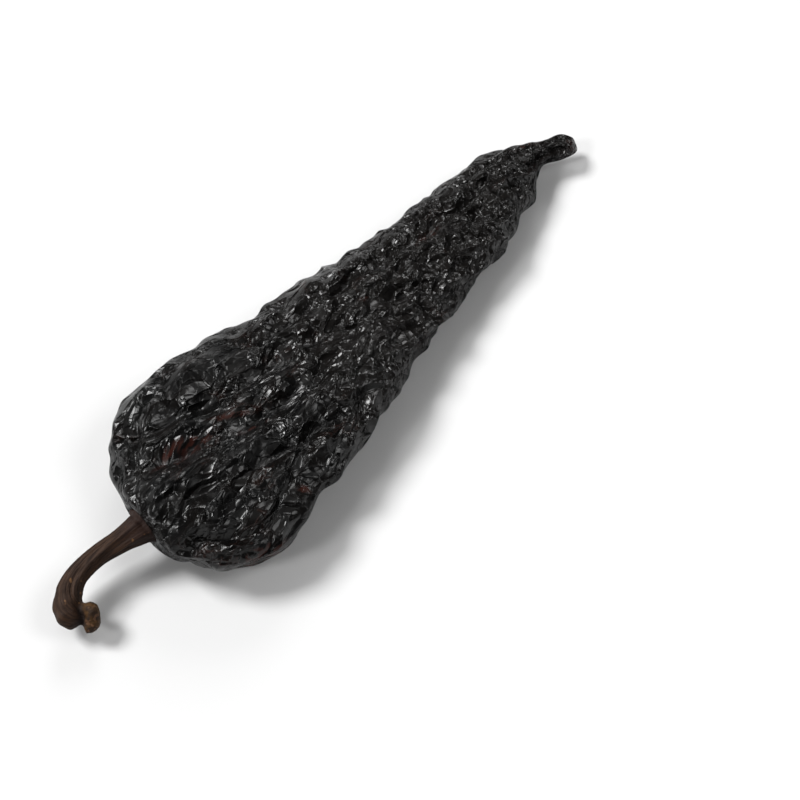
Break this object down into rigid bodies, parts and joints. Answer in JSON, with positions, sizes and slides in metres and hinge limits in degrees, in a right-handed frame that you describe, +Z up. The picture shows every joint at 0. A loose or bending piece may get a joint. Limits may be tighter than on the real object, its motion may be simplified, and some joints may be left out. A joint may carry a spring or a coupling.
{
  "type": "dried chili pod",
  "caption": "Dried, smoked chili with a flattened, wrinkled black pod that tapers to a pinched tip, and a short hooked stem.",
  "frame": {"origin": "under the middle of the whole chili's box, on the surface it rests on", "axes": "+X from the stem to the pod's tip, +Y to the pod's left seen from the stem, +Z up"},
  "size_m": [0.1264, 0.038, 0.0159],
  "materials": {
    "skin": "glossy, tightly wrinkled, brown-black with dark red in the folds",
    "stem": "dry, matt, with fine lengthwise ridges"
  },
  "bodies": {
    "root": {"pod": "skin", "stem": "stem"}
  },
  "joints": []
}
